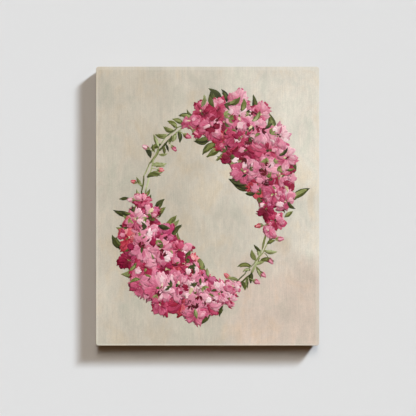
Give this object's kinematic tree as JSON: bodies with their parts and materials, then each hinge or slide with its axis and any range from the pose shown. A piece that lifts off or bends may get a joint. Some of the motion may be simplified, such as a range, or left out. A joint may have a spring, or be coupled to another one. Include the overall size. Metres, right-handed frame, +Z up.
{
  "type": "stretched canvas wall picture",
  "caption": "Upright gallery-wrapped canvas for a wall: painted cotton over mitred pine stretcher bars, keyed at the corners, stapled behind, with a sawtooth hanger.",
  "frame": {"origin": "middle of the bottom of the object's box, bumpers included", "axes": "+Z up the picture, +X to the right of someone who looks at it, +Y towards the wall; the painted face looks along -Y"},
  "size_m": [0.4064, 0.041, 0.508],
  "materials": {
    "painted_canvas": "matt brushed paint",
    "pine": "planed, unvarnished",
    "beech": "sawn, unvarnished",
    "staple_wire": "galvanised",
    "hanger_steel": "zinc plated",
    "nail_brass": "bright",
    "bumper_rubber": "matt"
  },
  "bodies": {
    "root": {"canvas": "painted_canvas", "bar_top": "pine", "bar_bottom": "pine", "bar_left": "pine", "bar_right": "pine", "key_1_across": "beech", "key_1_up": "beech", "key_2_across": "beech", "key_2_up": "beech", "key_3_across": "beech", "key_3_up": "beech", "key_4_across": "beech", "key_4_up": "beech", "staple_top_1": "staple_wire", "staple_top_2": "staple_wire", "staple_top_3": "staple_wire", "staple_top_4": "staple_wire", "staple_top_5": "staple_wire", "staple_top_6": "staple_wire", "staple_top_7": "staple_wire", "staple_bottom_1": "staple_wire", "staple_bottom_2": "staple_wire", "staple_bottom_3": "staple_wire", "staple_bottom_4": "staple_wire", "staple_bottom_5": "staple_wire", "staple_bottom_6": "staple_wire", "staple_bottom_7": "staple_wire", "staple_left_1": "staple_wire", "staple_left_2": "staple_wire", "staple_left_3": "staple_wire", "staple_left_4": "staple_wire", "staple_left_5": "staple_wire", "staple_left_6": "staple_wire", "staple_left_7": "staple_wire", "staple_left_8": "staple_wire", "staple_left_9": "staple_wire", "staple_right_1": "staple_wire", "staple_right_2": "staple_wire", "staple_right_3": "staple_wire", "staple_right_4": "staple_wire", "staple_right_5": "staple_wire", "staple_right_6": "staple_wire", "staple_right_7": "staple_wire", "staple_right_8": "staple_wire", "staple_right_9": "staple_wire", "staple_corner_1": "staple_wire", "staple_corner_2": "staple_wire", "staple_corner_3": "staple_wire", "staple_corner_4": "staple_wire", "sawtooth_hanger": "hanger_steel", "hanger_nail_left": "nail_brass", "hanger_nail_right": "nail_brass", "bumper_left": "bumper_rubber", "bumper_right": "bumper_rubber"}
  },
  "joints": []
}
